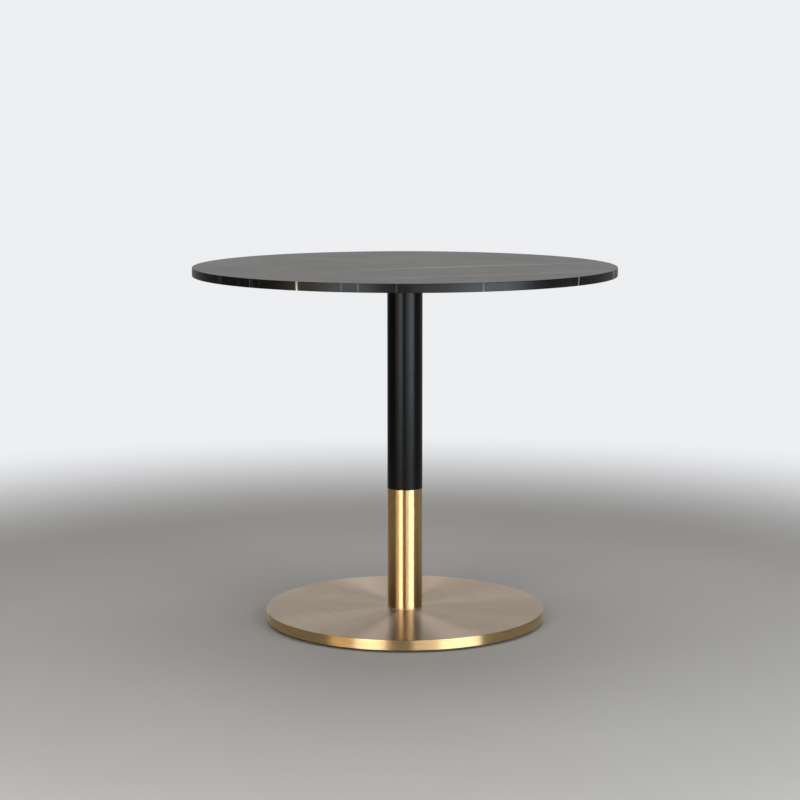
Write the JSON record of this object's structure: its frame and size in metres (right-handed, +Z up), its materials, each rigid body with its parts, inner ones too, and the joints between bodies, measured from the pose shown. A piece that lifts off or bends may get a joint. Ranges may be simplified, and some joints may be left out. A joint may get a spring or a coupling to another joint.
{
  "type": "round pedestal table",
  "caption": "Round table: a thin stone disc on a straight two-tone column that stands on a flat disc base with levelling glides.",
  "frame": {"origin": "on the floor, at the centre of the base", "axes": "+Z up along the column, top face upwards; +X and +Y lie between the glides"},
  "size_m": [0.8959, 0.896, 0.762],
  "materials": {
    "black_marble": "honed, with thin white and tan veins",
    "turned_brass": "machined",
    "black_rubber": "matte",
    "black_powder_coat": "satin powder coat",
    "zinc_steel": "zinc plated",
    "brushed_brass": "satin brushed, lacquered",
    "polished_brass": "polished",
    "antique_brass": "circular brushed, aged",
    "cast_iron": "as cast",
    "black_nylon": "moulded"
  },
  "bodies": {
    "table": {"marble_top": "black_marble", "stone_inserts": "turned_brass", "top_pad": "black_rubber", "top_plate": "black_powder_coat", "top_screw_washers": "zinc_steel", "top_screws": "zinc_steel", "column_head": "black_powder_coat", "upper_tube": "black_powder_coat", "lower_tube": "brushed_brass", "column_joiner": "zinc_steel", "foot_ring": "polished_brass", "tie_rod": "zinc_steel", "rod_jam_nut": "zinc_steel", "plate_washer": "zinc_steel", "lock_washer": "zinc_steel", "rod_nut": "zinc_steel", "base_cover": "antique_brass", "base_weight": "cast_iron", "base_liner": "black_rubber", "recess_cap": "black_nylon", "glide_inserts": "turned_brass"},
    "glide_1": {"glide_foot_1": "black_nylon"},
    "screw_1": {"glide_stud_1": "zinc_steel"},
    "glide_2": {"glide_foot_2": "black_nylon"},
    "screw_2": {"glide_stud_2": "zinc_steel"},
    "glide_3": {"glide_foot_3": "black_nylon"},
    "screw_3": {"glide_stud_3": "zinc_steel"},
    "glide_4": {"glide_foot_4": "black_nylon"},
    "screw_4": {"glide_stud_4": "zinc_steel"}
  },
  "joints": [
    {"name": "glide_1_lift", "type": "slide", "parent": "table", "child": "glide_1", "axis": [0, 0, -1], "range_m": [0, 0.0075]},
    {"name": "glide_1_turn", "type": "hinge", "parent": "glide_1", "child": "screw_1", "pos_m": [0.18385, 0.18385, 0.003], "axis": [0, 0, -1], "range_deg": [0, 2160]},
    {"name": "glide_2_lift", "type": "slide", "parent": "table", "child": "glide_2", "axis": [0, 0, -1], "range_m": [0, 0.0075]},
    {"name": "glide_2_turn", "type": "hinge", "parent": "glide_2", "child": "screw_2", "pos_m": [-0.18385, 0.18385, 0.003], "axis": [0, 0, -1], "range_deg": [0, 2160]},
    {"name": "glide_3_lift", "type": "slide", "parent": "table", "child": "glide_3", "axis": [0, 0, -1], "range_m": [0, 0.0075]},
    {"name": "glide_3_turn", "type": "hinge", "parent": "glide_3", "child": "screw_3", "pos_m": [-0.18385, -0.18385, 0.003], "axis": [0, 0, -1], "range_deg": [0, 2160]},
    {"name": "glide_4_lift", "type": "slide", "parent": "table", "child": "glide_4", "axis": [0, 0, -1], "range_m": [0, 0.0075]},
    {"name": "glide_4_turn", "type": "hinge", "parent": "glide_4", "child": "screw_4", "pos_m": [0.18385, -0.18385, 0.003], "axis": [0, 0, -1], "range_deg": [0, 2160]}
  ],
  "couplings": [
    {"joint": "glide_1_turn", "follows": "glide_1_lift", "rad_per_m": 5026.5},
    {"joint": "glide_2_turn", "follows": "glide_2_lift", "rad_per_m": 5026.5},
    {"joint": "glide_3_turn", "follows": "glide_3_lift", "rad_per_m": 5026.5},
    {"joint": "glide_4_turn", "follows": "glide_4_lift", "rad_per_m": 5026.5}
  ]
}
